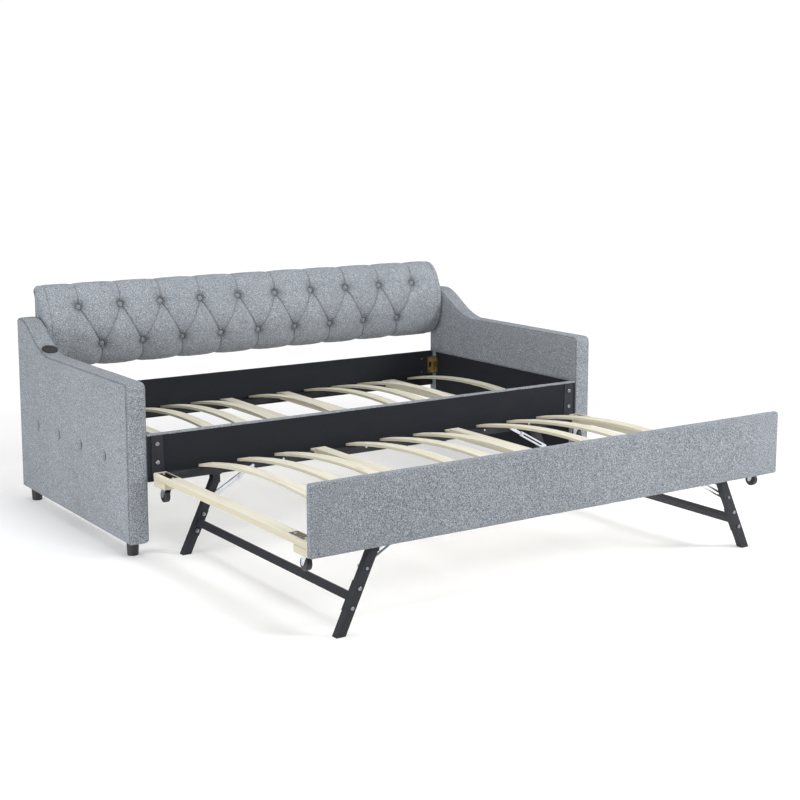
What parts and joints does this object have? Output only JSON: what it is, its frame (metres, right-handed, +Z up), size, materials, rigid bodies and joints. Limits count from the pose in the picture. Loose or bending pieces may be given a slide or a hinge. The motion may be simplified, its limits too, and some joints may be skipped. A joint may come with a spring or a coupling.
{
  "type": "trundle bed",
  "caption": "Upholstered daybed with sloped arms, a tufted bolster back, a slatted deck and a pull-out pop-up trundle on folding legs and casters.",
  "frame": {"origin": "centre of the bounding box, on the floor under the feet", "axes": "+X along the bed towards its right end seen from the front, +Y from the trundle back to the backrest, +Z up"},
  "size_m": [2.082, 2.163, 0.8527],
  "materials": {
    "arm_fabric": "woven",
    "black_cloth": "non-woven",
    "black_ledger": "matt",
    "black_plastic": "matt",
    "black_steel": "powder coat",
    "bolster_fabric": "woven",
    "button_fabric": "woven",
    "core_wood": "raw",
    "panel_fabric": "woven",
    "rail_fabric": "woven",
    "slat_wood": "satin",
    "socket_insert": "satin",
    "usb_plastic": "satin",
    "wheel_plastic": "satin",
    "yellow_zinc": "yellow zinc",
    "zinc": "zinc plate"
  },
  "bodies": {
    "left_legs": {"left_front_leg": "black_steel", "left_leg_bolts": "zinc", "left_rear_leg": "black_steel", "left_stretcher": "black_steel"},
    "left_rear_stay_bar": {"left_rear_stay_bar": "zinc"},
    "left_rear_stay_channel": {"left_rear_stay_channel": "zinc"},
    "left_rear_caster_fork": {"left_rear_caster_fork": "zinc"},
    "left_rear_caster_wheel": {"left_rear_caster_wheel": "wheel_plastic"},
    "left_front_stay_bar": {"left_front_stay_bar": "zinc"},
    "left_front_stay_channel": {"left_front_stay_channel": "zinc"},
    "left_front_caster_fork": {"left_front_caster_fork": "zinc"},
    "left_front_caster_wheel": {"left_front_caster_wheel": "wheel_plastic"},
    "right_legs": {"right_front_leg": "black_steel", "right_leg_bolts": "zinc", "right_rear_leg": "black_steel", "right_stretcher": "black_steel"},
    "right_rear_stay_bar": {"right_rear_stay_bar": "zinc"},
    "right_rear_stay_channel": {"right_rear_stay_channel": "zinc"},
    "right_rear_caster_fork": {"right_rear_caster_fork": "zinc"},
    "right_rear_caster_wheel": {"right_rear_caster_wheel": "wheel_plastic"},
    "right_front_stay_bar": {"right_front_stay_bar": "zinc"},
    "right_front_stay_channel": {"right_front_stay_channel": "zinc"},
    "right_front_caster_fork": {"right_front_caster_fork": "zinc"},
    "right_front_caster_wheel": {"right_front_caster_wheel": "wheel_plastic"},
    "trundle_deck": {"beam_end_plates": "yellow_zinc", "caster_blocks": "slat_wood", "caster_plates": "zinc", "deck_fixings": "zinc", "left_end_beam": "slat_wood", "leg_brackets": "black_steel", "leg_catches": "black_plastic", "right_end_beam": "slat_wood", "trundle_cross_beams": "slat_wood", "trundle_front_rail": "black_steel", "trundle_panel_board": "core_wood", "trundle_panel_cover": "panel_fabric", "trundle_rear_rail": "black_steel", "trundle_slats": "slat_wood"},
    "daybed": {"arm_cores": "core_wood", "arm_linings": "black_cloth", "arm_tufts": "button_fabric", "backrest_board": "core_wood", "backrest_buttons": "button_fabric", "backrest_hook_plates": "zinc", "backrest_upholstery": "bolster_fabric", "feet": "black_plastic", "front_corner_brackets": "black_steel", "front_rail": "core_wood", "left_arm_upholstery": "arm_fabric", "main_cross_beams": "slat_wood", "main_slats": "slat_wood", "rail_bolts": "zinc", "rail_cloths": "black_cloth", "rail_covers": "rail_fabric", "rear_corner_brackets": "yellow_zinc", "rear_rail": "core_wood", "right_arm_upholstery": "arm_fabric", "slat_ledgers": "black_ledger", "usb_port": "usb_plastic", "usb_sockets": "socket_insert"}
  },
  "joints": [
    {"name": "trundle_lower", "type": "slide", "parent": "daybed", "child": "trundle_deck", "axis": [0, 0, -1], "range_m": [0, 0.2035]},
    {"name": "left_legs_fold", "type": "hinge", "parent": "trundle_deck", "child": "left_legs", "pos_m": [-0.72611, -0.5295, 0.254], "axis": [0, -1, 0], "range_deg": [0, 115.28]},
    {"name": "left_rear_stay_swing", "type": "hinge", "parent": "trundle_deck", "child": "left_rear_stay_bar", "pos_m": [-0.585, -0.039, 0.288], "axis": [0, 1, 0], "range_deg": [0, 4.63]},
    {"name": "left_rear_stay_slide", "type": "slide", "parent": "left_rear_stay_bar", "child": "left_rear_stay_channel", "axis": [0.8751, 0, 0.484], "range_m": [0, 0.11097]},
    {"name": "left_rear_caster_swivel", "type": "hinge", "parent": "trundle_deck", "child": "left_rear_caster_fork", "pos_m": [-0.928, -0.0555, 0.2535], "axis": [0, 0, 1], "continuous": true},
    {"name": "left_rear_wheel_spin", "type": "hinge", "parent": "left_rear_caster_fork", "child": "left_rear_caster_wheel", "pos_m": [-0.928, -0.0415, 0.2255], "axis": [1, 0, 0], "continuous": true},
    {"name": "left_front_stay_swing", "type": "hinge", "parent": "trundle_deck", "child": "left_front_stay_bar", "pos_m": [-0.585, -1.021, 0.288], "axis": [0, 1, 0], "range_deg": [0, 4.63]},
    {"name": "left_front_stay_slide", "type": "slide", "parent": "left_front_stay_bar", "child": "left_front_stay_channel", "axis": [0.8751, 0, 0.484], "range_m": [0, 0.11097]},
    {"name": "left_front_caster_swivel", "type": "hinge", "parent": "trundle_deck", "child": "left_front_caster_fork", "pos_m": [-0.928, -1.0105, 0.2535], "axis": [0, 0, 1], "continuous": true},
    {"name": "left_front_wheel_spin", "type": "hinge", "parent": "left_front_caster_fork", "child": "left_front_caster_wheel", "pos_m": [-0.928, -0.9965, 0.2255], "axis": [1, 0, 0], "continuous": true},
    {"name": "right_legs_fold", "type": "hinge", "parent": "trundle_deck", "child": "right_legs", "pos_m": [0.72611, -0.5295, 0.254], "axis": [0, 1, 0], "range_deg": [0, 115.28]},
    {"name": "right_rear_stay_swing", "type": "hinge", "parent": "trundle_deck", "child": "right_rear_stay_bar", "pos_m": [0.585, -0.039, 0.288], "axis": [0, -1, 0], "range_deg": [0, 4.63]},
    {"name": "right_rear_stay_slide", "type": "slide", "parent": "right_rear_stay_bar", "child": "right_rear_stay_channel", "axis": [-0.8751, 0, 0.484], "range_m": [0, 0.11097]},
    {"name": "right_rear_caster_swivel", "type": "hinge", "parent": "trundle_deck", "child": "right_rear_caster_fork", "pos_m": [0.928, -0.0555, 0.2535], "axis": [0, 0, 1], "continuous": true},
    {"name": "right_rear_wheel_spin", "type": "hinge", "parent": "right_rear_caster_fork", "child": "right_rear_caster_wheel", "pos_m": [0.928, -0.0415, 0.2255], "axis": [1, 0, 0], "continuous": true},
    {"name": "right_front_stay_swing", "type": "hinge", "parent": "trundle_deck", "child": "right_front_stay_bar", "pos_m": [0.585, -1.021, 0.288], "axis": [0, -1, 0], "range_deg": [0, 4.63]},
    {"name": "right_front_stay_slide", "type": "slide", "parent": "right_front_stay_bar", "child": "right_front_stay_channel", "axis": [-0.8751, 0, 0.484], "range_m": [0, 0.11097]},
    {"name": "right_front_caster_swivel", "type": "hinge", "parent": "trundle_deck", "child": "right_front_caster_fork", "pos_m": [0.928, -1.0105, 0.2535], "axis": [0, 0, 1], "continuous": true},
    {"name": "right_front_wheel_spin", "type": "hinge", "parent": "right_front_caster_fork", "child": "right_front_caster_wheel", "pos_m": [0.928, -0.9965, 0.2255], "axis": [1, 0, 0], "continuous": true}
  ],
  "couplings": [
    {"joint": "left_legs_fold", "follows": "trundle_lower", "rad_per_m": 9.886},
    {"joint": "left_rear_stay_swing", "follows": "trundle_lower", "rad_per_m": 0.39604},
    {"joint": "left_rear_stay_slide", "follows": "trundle_lower", "ratio": 0.5448},
    {"joint": "left_front_stay_swing", "follows": "trundle_lower", "rad_per_m": 0.39604},
    {"joint": "left_front_stay_slide", "follows": "trundle_lower", "ratio": 0.5448},
    {"joint": "right_legs_fold", "follows": "trundle_lower", "rad_per_m": 9.886},
    {"joint": "right_rear_stay_swing", "follows": "trundle_lower", "rad_per_m": 0.39604},
    {"joint": "right_rear_stay_slide", "follows": "trundle_lower", "ratio": 0.5448},
    {"joint": "right_front_stay_swing", "follows": "trundle_lower", "rad_per_m": 0.39604},
    {"joint": "right_front_stay_slide", "follows": "trundle_lower", "ratio": 0.5448}
  ]
}
